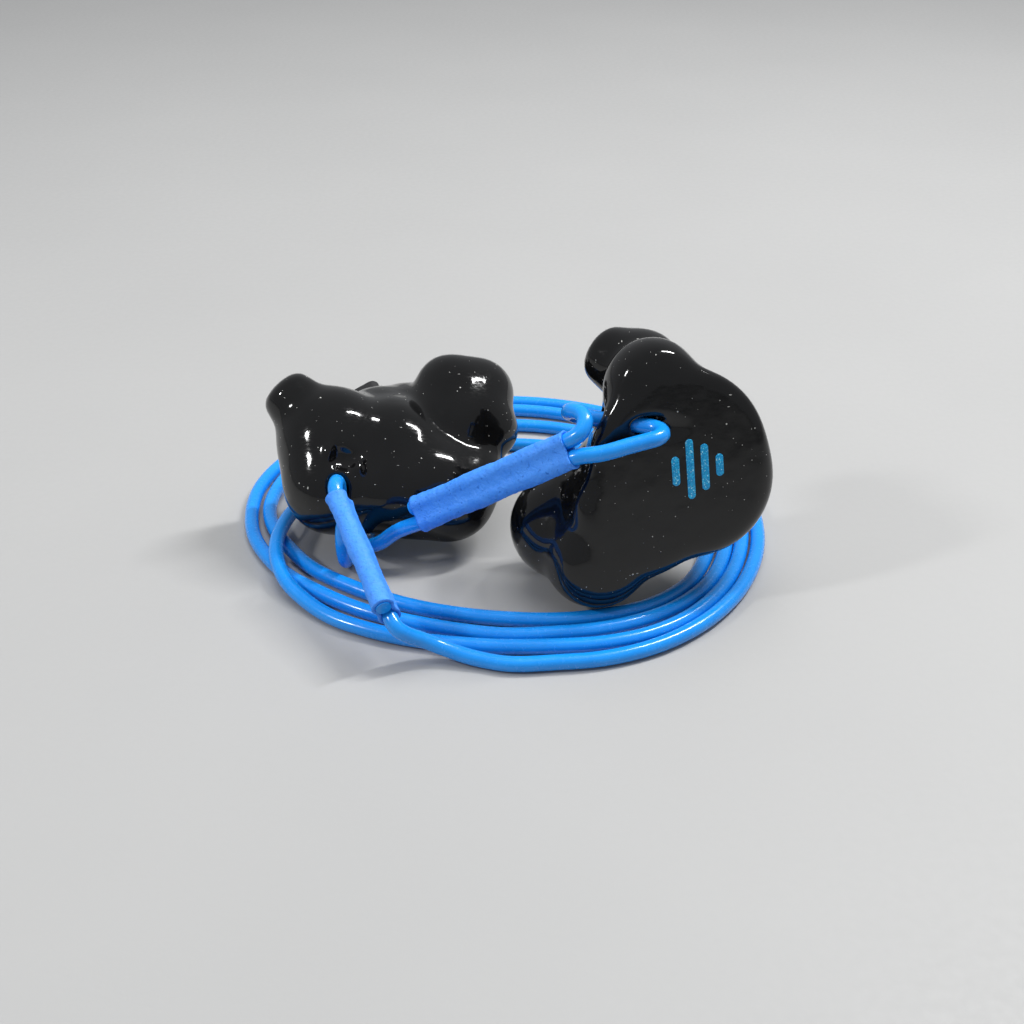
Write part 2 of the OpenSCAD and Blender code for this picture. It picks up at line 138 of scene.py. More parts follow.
# The ring's turns, wound clockwise seen from above: (degrees clockwise from +x, radius, height)
LAY = 0.9
WINDING = [
    (-150, 21.3), (-130, 20.4), (-110, 19.7), (-90, 19.2), (-68, 19.8), (-45, 21.8), (-22, 24.4),
    (0, 25.8), (20, 26.4), (38, 26.7), (50, 26.1), (63, 24.7), (76, 23.5), (92, 22.5), (106, 22.4),
    (120, 22.9), (137, 24.2), (154, 26.6), (164, 27.9), (173, 29.4), (182, 30.6), (195, 31.2),
    (210, 31.1), (230, 30.6), (250, 30), (275, 29.7), (300, 29.5), (330, 29.7), (350, 30.1),
    (373, 30.2), (395, 30.6), (406, 30.7), (416, 30.4), (429, 29.3), (438, 28.4), (451, 27.9),
    (462, 28), (473, 28.6), (483, 29.3), (492, 30), (501, 30.4, 1.2), (508, 30.7, 1.8),
    (516, 30.3, 2.6), (523, 29.4, 2.8), (530, 28.2, 2.8), (537, 27, 2.6), (545, 25.8, 1.6),
    (556, 24.8), (580, 24.5), (610, 24.8), (636, 25), (660, 25.4), (685, 26.4), (710, 27.8),
    (733, 28.3), (755, 28.7), (768, 28.3), (786, 26.9), (796, 26.1), (811, 25.7), (823, 25.4),
    (836, 25.7), (847, 26.6), (856, 27.4), (864, 28.3), (871, 29.4), (883, 31), (891, 32),
    (902, 32.9), (912, 33.5), (920, 33.6), (935, 33.2), (955, 32.8), (975, 32.4), (995, 32.3),
    (1020, 32.2), (1045, 32.1), (1070, 32.1), (1092, 32.2), (1115, 32.5), (1126, 32.6),
    (1138, 32.5), (1151, 31.9), (1159, 31.3), (1171, 30.9),
]
LEAD = [
    (-12.9, -13.4, 7), (-15, -12.2, 4.7), (-16.7, -9.9, 2.8), (-17.5, -7.4, 1.7), (-17.4, -4.6, 1.1),
    (-17.3, -1.6, LAY), (-17.9, 1.6, LAY), (-18.7, 5, LAY), (-19, 8, LAY),
]
DROP = [
    (-2.3, -30.4, LAY), (-4, -30, 1.1), (-5.9, -29.5, 1.5), (-7.9, -29.2, 2.2), (-9.4, -29.3, 3),
    (-10.8, -29.7, 3.9), (-11.8, -29.9, 4.8),
]
RIGHT_OUT = [
    (8.1, -20.8, 24.3), (8.6, -19.7, 25.1), (8.1, -18.3, 25.4), (7.2, -17.1, 25), (7, -16.1, 24.3),
    (7.6, -15.5, 23.7),
]
RIGHT_BACK = [
    (16.9, -18.8, 23.5), (17, -19.9, 23.55), (16.3, -20.8, 23.55), (15.1, -21.2, 23.4),
    (13.4, -21.6, 23.1), (10.5, -22, 22.4),
]
LEFT_OUT = [(-19.8, -12, 13), (-19.85, -13.1, 12.95)]
LEFT_BACK = [
    (-19.6, -7.6, 1.5), (-19.4, -10.2, 1.1), (-19.3, -13, 2.8), (-19.3, -14.2, 6), (-19.2, -14, 7.7),
    (-18.85, -14.2, 9),
]


def eye_run(ear, eye, trim):
    """Through an eye from its far mouth to the one the cord bends back from, less the bend's start."""
    start, end = ear.world(eye[0]), ear.world(eye[1])
    return straight(start, end - trim * unit(end - start))


def ring_point(turn):
    a, r = math.radians(-turn[0]), turn[1]
    return (r * math.cos(a), r * math.sin(a), turn[2] if len(turn) > 2 else LAY)


# how far each cut end stands out of its sleeve, and how long before a mouth each bend starts
FIRST_END_OUT = 0.7
LAST_END_OUT = 0.2
RIGHT_EYE_TRIM = 0.8
LEFT_SLEEVE_IN_TRIM = 0.9
LEFT_SLEEVE_OUT_TRIM = 2.4
LAST_RUN_TRIM = 0.6
LINE_STEP = 0.5
first_run = run("right", 1, (0, 1))
last_run = run("left", -1, (0, 1), (LAST_RUN_TRIM, 0))
route = (
    [first_run[0] - FIRST_END_OUT * unit(first_run[1] - first_run[0])] + first_run
    + [np.array(p) for p in RIGHT_OUT] + eye_run(right, RIGHT_EYE[::-1], RIGHT_EYE_TRIM)
    + [np.array(p) for p in RIGHT_BACK] + run("right", -1, (1, 0))
    + [np.array(p) for p in LEAD] + [np.array(ring_point(t)) for t in WINDING]
    + [np.array(p) for p in DROP]
    + run("left", 1, (1, 0), (LEFT_SLEEVE_IN_TRIM, LEFT_SLEEVE_OUT_TRIM))
    + [np.array(p) for p in LEFT_BACK[::-1]] + eye_run(left, LEFT_EYE[::-1], 0)
    + [np.array(p) for p in LEFT_OUT] + last_run
    + [last_run[-1] + LAST_END_OUT * unit(last_run[-1] - last_run[-2])]
)
line = smooth_path(route, LINE_STEP)

curve = bpy.data.curves.new("neck_cord", "CURVE")
curve.dimensions = "3D"
curve.bevel_depth = CORD_D / 2 * MM
curve.bevel_resolution = 7
curve.use_fill_caps = True
strand = curve.splines.new("POLY")
strand.points.add(len(line) - 1)
strand.points.foreach_set("co", np.c_[line * MM, np.ones(len(line))].ravel())
strand.use_smooth = True
cord = bpy.data.objects.new("neck_cord", curve)
bpy.context.collection.objects.link(cord)

# ---------- implicit skins, meshed on a grid ----------
# each ear's lobes: middle and radius of the balls that blend into its body
RIGHT_LOBES = np.array([
    [-1.3, 9.8, -13.2, 3.4], [1.7, 8.2, -11.2, 4.8],
    [0.8, 8.2, -4, 5.3], [2.6, 0.3, -0.4, 10.2], [5.1, -3.4, -4.7, 9.1], [-2, -5.8, -4, 8.1],
    [-6.9, -11.3, -4.6, 5.9], [-2.6, -1.5, -6.4, 5], [-9.2, -8.9, -10.2, 6.4], [-6.3, -4.7, -8.5, 4.8],
])
LEFT_LOBES = np.array([
    [-6, 11.4, -14.4, 3.5],
    [-7.2, 5.6, -9.8, 7.1], [-11.9, 2.6, -8.3, 6.2], [-0.5, 5.4, -4.5, 5.4], [8.1, -0.2, -5.9, 3.9],
    [10.2, -3.4, -3.6, 4.2], [4.6, -4.2, -4.4, 4.9], [6.1, -7.2, -2.2, 3.7], [-4.8, -5.3, -3.8, 6.2],
    [-0.9, -8.7, -1.6, 4.5], [-6, -3.2, -3.6, 6.5], [-5.1, -9.3, -1.7, 4.9], [-10.2, 0, -6.3, 4.9],
    [3.5, 5, -1.3, 5], [7.4, -2.6, -4.6, 4.7], [4.5, -1.5, -1, 6],
])


def lobes_field(p, lobes, blend):
    total = np.zeros(len(p))
    for b in lobes:
        total += np.exp(-blend * (np.linalg.norm(p - b[:3], axis=1) - b[3]))
    return -np.log(total + 1e-30) / blend


def soft_max(a, b, k):
    h = np.clip(0.5 + 0.5 * (a - b) / k, 0, 1)
    return b * (1 - h) + a * h + k * h * (1 - h)


def soft_cut(body, tool, k):
    return soft_max(body, -tool, k)


def to_line(p, a, b):
    """Distance from each point to the line through a and b, and how far along from a."""
    way = unit(b - a)
    along = (p - a) @ way
    return np.linalg.norm(p - a - along[:, None] * way, axis=1), along


SOCKET_SIZE = np.array([3, 5.4, 2.8])
SOCKET_ROUND = 1.1
PIN_R = 0.4
PIN_DEPTH = 2.4
PIN_PITCH = 2
SOCKET_EDGE = 0.3


def socket_field(p, at, turn, grow=0):
    """A block with round corners whose outer face has its middle at a point and looks along turn."""
    c, s = math.cos(math.radians(turn)), math.sin(math.radians(turn))
    q = p - at
    q = np.c_[c * q[:, 0] + s * q[:, 1] + SOCKET_SIZE[0] / 2, -s * q[:, 0] + c * q[:, 1], q[:, 2]]
    past = np.maximum(np.abs(q[:, 1:]) - SOCKET_SIZE[1:] / 2 + SOCKET_ROUND, 0)
    sides = np.linalg.norm(past, axis=1) - SOCKET_ROUND
    return soft_max(sides, np.abs(q[:, 0]) - SOCKET_SIZE[0] / 2, SOCKET_EDGE) - grow


CANAL_BORE_R = 0.8
CANAL_BORE_DEPTH = 5
BORE_PITCH = 2.3
TIP_CUT = 1.1
# how softly each cut's edge is rounded
RIM_SOFTNESS = 1.6
TIP_SOFTNESS = 1.5
BORE_SOFTNESS = 0.3
POCKET_SOFTNESS = 0.2
PIN_SOFTNESS = 0.08
POCKET_GAP = 0.04
# shallow waves in the moulded skin, none on the face and full from a depth below it
RIPPLES = 9
RIPPLE_HEIGHT = 0.09
RIPPLE_FADE = 3


class Skin:
    """The outside of one ear: blended lobes, a flat face with a soft rim, and what is cut into them."""

    def __init__(self, lobes, eye, canal, socket_at, socket_turn, seed):
        self.lobes, self.eye, self.canal = lobes, eye, np.array(canal, float)
        self.socket_at, self.socket_turn = np.array(socket_at, float), socket_turn
        self.blend, self.shrink = 1.4, 0
        self.eye_r, self.mouth_round = 1.2, 1.1
        waves = np.random.default_rng(seed)
        self.waves = [(unit(waves.normal(size=3)) * waves.uniform(0.5, 1.3), waves.uniform(0, 6.28))
                      for _ in range(RIPPLES)]
        self.dents = []

    def field(self, p):
        f = lobes_field(p, self.lobes, self.blend) + self.shrink
        ripple = sum(np.sin(p @ way + shift) for way, shift in self.waves) / RIPPLES
        f = f + RIPPLE_HEIGHT * ripple * np.clip(-p[:, 2] / RIPPLE_FADE, 0, 1)
        for centre, reach, depth in self.dents:
            d = np.linalg.norm(p - centre, axis=1) / reach
            f = f + depth * np.exp(-d**2)
        f = soft_max(f, p[:, 2], RIM_SOFTNESS)
        way = unit(self.canal[1] - self.canal[0])
        tip = self.canal[1] - TIP_CUT * way
        f = soft_max(f, (p - tip) @ way, TIP_SOFTNESS)
        radial, _ = to_line(p, self.eye[0], self.eye[1])
        f = soft_cut(f, radial - self.eye_r, self.mouth_round)
        side = unit(np.cross(way, [0, 0, 1]))
        for s in (-1, 1):
            start = tip + s * BORE_PITCH / 2 * side
            radial, along = to_line(p, start, start + way)
            bore = np.maximum(radial - CANAL_BORE_R, -along - CANAL_BORE_DEPTH)
            f = soft_cut(f, bore, BORE_SOFTNESS)
        pocket = socket_field(p, self.socket_at, self.socket_turn, POCKET_GAP)
        return soft_cut(f, pocket, POCKET_SOFTNESS)

    def socket(self, p):
        """The inlet block with its two pin holes."""
        f = socket_field(p, self.socket_at, self.socket_turn)
        a = math.radians(self.socket_turn)
        way, side = np.array([math.cos(a), math.sin(a), 0]), np.array([-math.sin(a), math.cos(a), 0])
        for k in (-1, 1):
            face = self.socket_at + k * PIN_PITCH / 2 * side
            radial, along = to_line(p, face, face + way)
            f = soft_cut(f, np.maximum(radial - PIN_R, -along - PIN_DEPTH), PIN_SOFTNESS)
        return f


def surface_net(field, low, high, step):
    """Vertices and quads of field = 0: one vertex in each grid cell that the surface crosses."""
    axes = [np.arange(a, b + step, step) for a, b in zip(low, high)]
    grid = np.stack(np.meshgrid(*axes, indexing="ij"), -1)
    shape = grid.shape[:3]
    value = field(grid.reshape(-1, 3)).reshape(shape)
    n = np.array(shape) - 1
    corners = {c: value[c[0]:n[0] + c[0], c[1]:n[1] + c[1], c[2]:n[2] + c[2]]
               for c in product((0, 1), repeat=3)}
    below = sum((v < 0).astype(np.int8) for v in corners.values())
    cells = np.argwhere((below > 0) & (below < 8))
    index = np.full(n, -1)
    index[tuple(cells.T)] = np.arange(len(cells))
    total, count = np.zeros((len(cells), 3)), np.zeros(len(cells))
    for c, axis in product(corners, range(3)):
        if c[axis]:
            continue
        d = tuple(v + (i == axis) for i, v in enumerate(c))
        a, b = corners[c][tuple(cells.T)], corners[d][tuple(cells.T)]
        crossed = (a < 0) != (b < 0)
        t = np.where(crossed, a / np.where(crossed, a - b, 1), 0)
        point = np.array(c, float)[None, :] + t[:, None] * np.eye(3)[axis]
        total += point * crossed[:, None]
        count += crossed
    points = np.array(low) + step * (cells + total / count[:, None])
    quads = []
    for axis in range(3):
        u, v = (axis + 1) % 3, (axis + 2) % 3
        ahead = np.roll(value, -1, axis)
        sign = (value < 0).astype(np.int8) - (ahead < 0).astype(np.int8)
        edges = np.argwhere(sign != 0)
        edges = edges[(edges[:, axis] < shape[axis] - 1) & (edges[:, u] > 0) & (edges[:, v] > 0)]
        edges = edges[(edges[:, u] < n[u]) & (edges[:, v] < n[v])]
        around = []
        for du, dv in ((0, 0), (-1, 0), (-1, -1), (0, -1)):
            cell = edges.copy()
            cell[:, u] += du
            cell[:, v] += dv
            around.append(index[tuple(cell.T)])
        quad = np.stack(around, 1)
        out = sign[tuple(edges.T)] > 0
        quad[~out] = quad[~out][:, ::-1]
        quads.append(quad)
    return points, np.vstack(quads)


SLOPE_REACH = 0.02
LEAST_SLOPE_SQUARED = 0.2


def settle(points, field, rounds, most):
    """Moves points onto the surface along the field's slope, by no more than most in a round."""
    e = SLOPE_REACH
    for _ in range(rounds):
        f = field(points)
        rise = [field(points + e * v) - field(points - e * v) for v in np.eye(3)]
        slope = np.stack(rise, 1) / (2 * e)
        steep = np.maximum((slope**2).sum(1), LEAST_SLOPE_SQUARED)
        move = -(f / steep)[:, None] * slope
        size = np.linalg.norm(move, axis=1, keepdims=True)
        points = points + move * np.minimum(1, most / np.maximum(size, 1e-9))
    return points


def mesh_piece(name, points, faces, material, body):
    mesh = bpy.data.meshes.new(name)
    mesh.from_pydata((np.asarray(points) * MM).tolist(), [], [list(map(int, f)) for f in faces])
    mesh.shade_smooth()
    mesh.materials.append(material)
    piece = bpy.data.objects.new(name, mesh)
    bpy.context.collection.objects.link(piece)
    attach(piece, body)
    return piece


# ---------- materials ----------
class Paint:
    """A node material in object space, measured in millimetres."""

    def __init__(self, name, **fixed):
        self.material = bpy.data.materials.new(name)
        self.material.use_nodes = True
        self.nodes, self.links = self.material.node_tree.nodes, self.material.node_tree.links
        self.shader = self.nodes["Principled BSDF"]
        for socket, value in fixed.items():
            self.shader.inputs[socket.replace("_", " ")].default_value = value
        self.place = self.nodes.new("ShaderNodeTexCoord").outputs["Object"]

    def coords(self, scale, turn=(0, 0, 0)):
        node = self.nodes.new("ShaderNodeMapping")
        scale = (scale,) * 3 if np.isscalar(scale) else scale
        node.inputs["Scale"].default_value = [v / MM for v in scale]
        node.inputs["Rotation"].default_value = turn
        self.links.new(self.place, node.inputs["Vector"])
        return node.outputs["Vector"]

    def noise(self, scale, detail=2, turn=(0, 0, 0), distortion=0):
        node = self.nodes.new("ShaderNodeTexNoise")
        node.inputs["Scale"].default_value = 1
        node.inputs["Detail"].default_value = detail
        node.inputs["Distortion"].default_value = distortion
        self.links.new(self.coords(scale, turn), node.inputs["Vector"])
        return node.outputs["Fac"]

    def voronoi(self, scale, output="Distance", turn=(0, 0, 0), feature="F1"):
        node = self.nodes.new("ShaderNodeTexVoronoi")
        node.feature = feature
        node.inputs["Scale"].default_value = 1
        self.links.new(self.coords(scale, turn), node.inputs["Vector"])
        return node.outputs[output]

    def ramp(self, value, low, high, start=0.0, end=1.0):
        node = self.nodes.new("ShaderNodeMapRange")
        node.inputs["From Min"].default_value = low
        node.inputs["From Max"].default_value = high
        node.inputs["To Min"].default_value = start
        node.inputs["To Max"].default_value = end
        self.links.new(value, node.inputs["Value"])
        return node.outputs["Result"]

    def math(self, kind, a, b):
        node = self.nodes.new("ShaderNodeMath")
        node.operation = kind
        for socket, value in zip(node.inputs, (a, b)):
            if hasattr(value, "default_value"):
                self.links.new(value, socket)
            else:
                socket.default_value = value
        return node.outputs["Value"]

    def mix(self, factor, a, b):
        node = self.nodes.new("ShaderNodeMix")
        node.data_type = "RGBA"
        self.links.new(factor, node.inputs["Factor"])
        for socket, value in zip((node.inputs["A"], node.inputs["B"]), (a, b)):
            if hasattr(value, "default_value"):
                self.links.new(value, socket)
            else:
                socket.default_value = (*value, 1)
        return node.outputs["Result"]

    def specks(self, scale, size, share, turn=(0, 0, 0)):
        """Small round marks in a share of the cells of a Voronoi pattern, each of its own size."""
        near = self.voronoi(scale, "Distance", turn)
        pick = self.nodes.new("ShaderNodeSeparateColor")
        self.links.new(self.voronoi(scale, "Color", turn), pick.inputs["Color"])
        reach = self.ramp(pick.outputs["Red"], 1 - share, 1, 0, size)
        inside = self.math("SUBTRACT", reach, near)
        return self.ramp(inside, 0, size * 0.3)

    def bump(self, height, depth_mm, under=None):
        node = self.nodes.new("ShaderNodeBump")
        node.inputs["Strength"].default_value = 1
        node.inputs["Distance"].default_value = depth_mm * MM
        self.links.new(height, node.inputs["Height"])
        if under is not None:
            self.links.new(under, node.inputs["Normal"])
        return node.outputs["Normal"]

    def wear(self, **linked):
        for socket, value in linked.items():
            self.links.new(value, self.shader.inputs[socket.replace("_", " ")])
        return self.material


def lacquer():
    """Deep black gloss with dust specks, short fibres and slow waves."""
    p = Paint("black_lacquer", IOR=1.47)
    dust = p.specks(0.9, 0.12, 0.6)
    fine_dust = p.specks(2, 0.15, 0.3, turn=(0.4, 1.1, 0.3))
    fibres = p.specks((0.35, 1.7, 1.7), 0.12, 0.22, turn=(0.7, 0.2, 1.3))
    fibres_across = p.specks((1.6, 0.3, 1.6), 0.11, 0.2, turn=(0.2, 0.9, 0.5))
    all_dust = p.math("MAXIMUM", dust, fine_dust)
    marks = p.math("MAXIMUM", all_dust, p.math("MAXIMUM", fibres, fibres_across))
    black = p.mix(p.noise(0.25, 3), (0.002, 0.002, 0.0022), (0.006, 0.006, 0.0062))
    colour = p.mix(marks, black, (0.42, 0.42, 0.4))
    haze = p.ramp(p.noise((0.5, 4, 4), 4, turn=(0.5, 0.3, 0.9)), 0.35, 0.75, 0.05, 0.16)
    rough = p.math("MAXIMUM", haze, p.ramp(marks, 0, 1, 0, 0.75))
    waves = p.bump(p.noise(0.28, 1, distortion=0.3), 0.07)
    flow = p.bump(p.noise(0.8, 2), 0.012, waves)
    return p.wear(Base_Color=colour, Roughness=rough, Normal=p.bump(marks, 0.02, flow))


def cord_plastic():
    p = Paint("cord_plastic", Coat_Weight=0.25, Coat_Roughness=0.1, IOR=1.46)
    base = p.mix(p.noise(0.35, 3), (0.004, 0.24, 0.78), (0.012, 0.31, 0.9))
    scuffs = p.specks((0.4, 1.3, 1.3), 0.07, 0.12, turn=(0.1, 0.6, 1))
    colour = p.mix(scuffs, base, (0.05, 0.4, 0.95))
    rough = p.ramp(p.noise(1.8, 3), 0.3, 0.7, 0.16, 0.3)
    return p.wear(Base_Color=colour, Roughness=rough, Normal=p.bump(p.noise(1.1, 3), 0.012))


def shrink_sleeve():
    p = Paint("shrink_sleeve", IOR=1.45)
    base = p.mix(p.noise(0.7, 4), (0.035, 0.24, 0.85), (0.075, 0.32, 0.97))
    # painted shade: patches of the sleeve's blue darkened as if shade lay in its pits; this is not a
    # colour the tube has
    painted_pit_shade = p.ramp(p.noise(2.6, 5, distortion=0.4), 0.3, 0.4, 1, 0)
    colour = p.mix(painted_pit_shade, base, (0.015, 0.16, 0.66))
    grain = p.bump(p.noise(3.4, 5, distortion=0.3), 0.09)
    return p.wear(Base_Color=colour, Roughness=p.ramp(p.noise(2, 3), 0.3, 0.7, 0.42, 0.7),
                  Normal=p.bump(p.noise(1.2, 3, distortion=0.6), 0.16, grain))


def glitter():
    p = Paint("glitter_inlay", Metallic=0.2, Coat_Weight=0.3, Coat_Roughness=0.05, IOR=1.45)
    pick = p.nodes.new("ShaderNodeSeparateColor")
    p.links.new(p.voronoi(8, "Color"), pick.inputs["Color"])
    flakes = p.ramp(pick.outputs["Green"], 0.55, 1)
    colour = p.mix(flakes, (0.0, 0.3, 0.66), (0.02, 0.58, 0.95))
    # painted highlight: a few flakes are painted near-white cyan as glints where they would catch the
    # light, on top of the flakes' own tones
    painted_glints = p.mix(p.ramp(pick.outputs["Blue"], 0.9, 0.98), colour, (0.4, 0.85, 1.0))
    return p.wear(Base_Color=painted_glints, Roughness=p.ramp(pick.outputs["Red"], 0, 1, 0.25, 0.55),
                  Normal=p.bump(pick.outputs["Red"], 0.02))


def steel_can():
    p = Paint("driver_can", Metallic=1.0)
    grain = p.noise((0.5, 9, 9), 4)
    return p.wear(Base_Color=p.mix(grain, (0.45, 0.46, 0.48), (0.7, 0.71, 0.73)),
                  Roughness=p.ramp(grain, 0.3, 0.7, 0.22, 0.4), Normal=p.bump(grain, 0.01))


def circuit_board():
    p = Paint("circuit_board", Coat_Weight=0.3)
    traces = p.ramp(p.voronoi(1.1, feature="DISTANCE_TO_EDGE"), 0.06, 0.09)
    return p.wear(Base_Color=p.mix(traces, (0.03, 0.26, 0.09), (0.006, 0.09, 0.03)),
                  Roughness=p.ramp(p.noise(2), 0.3, 0.7, 0.3, 0.5), Normal=p.bump(traces, 0.02))


def soft_tube():
    p = Paint("sound_tube", IOR=1.43, Transmission_Weight=0.5)
    return p.wear(Base_Color=p.mix(p.noise(0.8, 3), (0.62, 0.65, 0.68), (0.82, 0.84, 0.86)),
                  Roughness=p.ramp(p.noise(3, 3), 0.3, 0.7, 0.2, 0.4))


def damper_brass():
    p = Paint("damper_brass", Metallic=1.0)
    mesh = p.ramp(p.voronoi(9), 0.25, 0.45)
    return p.wear(Base_Color=p.mix(mesh, (0.75, 0.5, 0.16), (0.4, 0.26, 0.08)),
                  Roughness=p.ramp(p.noise(4), 0.3, 0.7, 0.25, 0.45), Normal=p.bump(mesh, 0.03))


def socket_plastic():
    p = Paint("socket_plastic")
    grain = p.noise(5, 4)
    return p.wear(Base_Color=p.mix(grain, (0.010, 0.010, 0.011), (0.022, 0.022, 0.024)),
                  Roughness=p.ramp(grain, 0.3, 0.7, 0.4, 0.6), Normal=p.bump(grain, 0.015))


def enamel_wire():
    p = Paint("enamel_wire", Coat_Weight=0.5)
    return p.wear(Base_Color=p.mix(p.noise(2, 3), (0.35, 0.03, 0.02), (0.55, 0.09, 0.05)),
                  Roughness=p.ramp(p.noise(4), 0.3, 0.7, 0.2, 0.35))


def table_top():
    p = Paint("table_top")
    weave = p.noise(0.9, 6)
    return p.wear(Base_Color=p.mix(p.noise(0.02, 3), (0.36, 0.36, 0.357), (0.39, 0.39, 0.386)),
                  Roughness=p.ramp(weave, 0.3, 0.7, 0.5, 0.62), Normal=p.bump(weave, 0.02))


LACQUER = lacquer()
for node, make in (("driver", steel_can), ("crossover", circuit_board), ("tube", soft_tube),
                   ("damper", damper_brass), ("wires", enamel_wire)):
    finish = make()
    for name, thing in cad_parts.items():
        if name.endswith(node):
            for held in thing.material_slots:
                held.material = finish

# ---------- the cord and its sleeves ----------
curve.materials.append(cord_plastic())
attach(cord, "root")
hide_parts("cord_coil", "cord_lead", "cord_drop", "left_loop", "right_loop")

SLEEVE_MATERIAL = shrink_sleeve()
ARC_STEPS = 14
WAIST_STEPS = 7
ROW_STEP = 0.2
INNER_ROW_EVERY = 6
OUTER_WAIST = 0.22
INNER_WAIST = 0.25
INNER_GAP = 0.03
INNER_SETBACK = 0.02
MOUTH_REACH = 0.5
MOUTH_FLARE = 0.1
SWELL = 0.05
WRINKLE = 0.07
CREASE = 0.035
END_SLANT = 0.0336


def oblong(radius, waist):
    """Outline round both clamped runs: two half circles and drawn-in sides between them."""
    half = SLEEVE_PITCH / 2
    points = []
    for side in (1, -1):
        for i in range(ARC_STEPS + 1):
            a = math.pi * (i / ARC_STEPS - 0.5)
            points.append((side * (half + radius * math.cos(a)), side * radius * math.sin(a)))
        for i in range(1, WAIST_STEPS):
            x = half * (1 - 2 * i / WAIST_STEPS)
            points.append((side * x, side * (radius - waist * (1 - (x / half) ** 2))))
    return points


def sleeve_piece(name, seed):
    """A wrinkled tube shrunk round both runs, open at its ends, with a wall."""
    ends, across = SLEEVES[name]
    way = unit(ends[1] - ends[0])
    wide = unit(across - way * (across @ way))
    thick = np.cross(way, wide)
    length = np.linalg.norm(ends[1] - ends[0])
    outer = oblong(CORD_D / 2 + SLEEVE_WALL, OUTER_WAIST)
    inner = oblong(CORD_D / 2 + INNER_GAP, INNER_WAIST)
    rows = int(length / ROW_STEP)
    rings = []
    for row in range(rows + 1):
        t = row / rows
        mouth = math.exp(-((min(t, 1 - t) * length / MOUTH_REACH) ** 2))
        swell = SWELL * math.sin(2.3 * t * length / 3 + seed) + MOUTH_FLARE * mouth
        ring = []
        for x, y in outer:
            out = unit((0.4 * x, y)) if abs(y) > 0.01 else np.array([np.sign(x), 0])
            spot = Vector((x * 0.9, y * 0.9, t * length * 1.1 + 7 * seed))
            crease = Vector((x * 0.5, y * 0.5, t * length * 3.2 + 3 * seed))
            wrinkle = WRINKLE * noise.noise(spot) + CREASE * noise.noise(crease * 1.4)
            along = t * length + END_SLANT * x * ((row == rows) - (row == 0))
            x, y = np.array([x, y]) + out * (swell + wrinkle * (1 - 0.6 * mouth))
            ring.append(ends[0] + along * way + x * wide + y * thick)
        rings.append(ring)
    for row in range(rows, -1, -INNER_ROW_EVERY):
        along = min(max(row / rows * length, INNER_SETBACK), length - INNER_SETBACK)
        rings.append([ends[0] + along * way + x * wide + y * thick for x, y in inner])
    count = len(outer)
    faces = []
    for i in range(len(rings)):
        j = (i + 1) % len(rings)
        for k in range(count):
            m = (k + 1) % count
            faces.append((i * count + k, i * count + m, j * count + m, j * count + k))
    piece = mesh_piece(name + "_shrink_sleeve", np.vstack(rings), faces, SLEEVE_MATERIAL, "root")
    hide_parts(name + "_sleeve")
    return piece


sleeves = [sleeve_piece("right", 1), sleeve_piece("left", 2)]
tuple(right.world(RIGHT_EYE[1]) * MM)

# ---------- the ears ----------
GRID = 0.26
SETTLE_ROUNDS = 3
SHELL_REACH = 0.12
SOCKET_GRID = 0.11
SOCKET_REACH = 0.06
SOCKET_BOX_HALF = 4
SOCKET_MATERIAL = socket_plastic()
EMBLEM_HEIGHTS = (3.4, 7, 5.4, 2.6)
EMBLEM_BAR = 0.9
EMBLEM_STEP = 1.7
BAR_SIDES = 24
BAR_LAYERS = ((-0.15, 0), (0.03, 0), (0.07, 0.03), (0.08, 0.09))  # (height, how far drawn in)
GLITTER = glitter()


def emblem_piece(name, ear, at):
    """Four parallel bars with round ends, standing just proud of the face."""
    points, faces = [], []
    top = (len(BAR_LAYERS) - 1) * BAR_SIDES
    for i, height in enumerate(EMBLEM_HEIGHTS):
        middle = np.array([at[0] + (i - 1.5) * EMBLEM_STEP, at[1]])
        straight_half = (height - EMBLEM_BAR) / 2
        start = len(points)
        for z, inset in BAR_LAYERS:
            for k in range(BAR_SIDES):
                a = 2 * math.pi * (k + 0.5) / BAR_SIDES
                r = EMBLEM_BAR / 2 - inset
                y = r * math.sin(a) + math.copysign(straight_half, math.sin(a))
                points.append((middle[0] + r * math.cos(a), middle[1] + y, z))
        for row, k in product(range(len(BAR_LAYERS) - 1), range(BAR_SIDES)):
            m = (k + 1) % BAR_SIDES
            a, b = start + row * BAR_SIDES, start + (row + 1) * BAR_SIDES
            faces.append((a + k, a + m, b + m, b + k))
        faces.append([start + k for k in reversed(range(BAR_SIDES))])
        faces.append([start + top + k for k in range(BAR_SIDES)])
    if ear is left:
        faces = [tuple(f)[::-1] for f in faces]
    piece = mesh_piece(name + "_inlay", ear.world(points), faces, GLITTER, name + "_ear")
    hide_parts(name + "_emblem")


def ear_piece(name, ear, skin, low, high):
    """One ear's moulded skin, meshed between two corners of a box, and its two-pin inlet."""
    points, quads = surface_net(skin.field, low, high, GRID)
    points = settle(points, skin.field, SETTLE_ROUNDS, SHELL_REACH)
    quads = quads if ear is right else quads[:, ::-1]
    piece = mesh_piece(name + "_moulded_shell", ear.world(points), quads, LACQUER, name + "_ear")
    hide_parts(name + "_shell", name + "_faceplate")
    low, high = skin.socket_at - SOCKET_BOX_HALF, skin.socket_at + SOCKET_BOX_HALF
    points, quads = surface_net(skin.socket, low, high, SOCKET_GRID)
    points = settle(points, skin.socket, SETTLE_ROUNDS, SOCKET_REACH)
    quads = quads if ear is right else quads[:, ::-1]
    inlet = mesh_piece(name + "_inlet", ear.world(points), quads, SOCKET_MATERIAL, name + "_ear")
    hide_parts(name + "_socket")


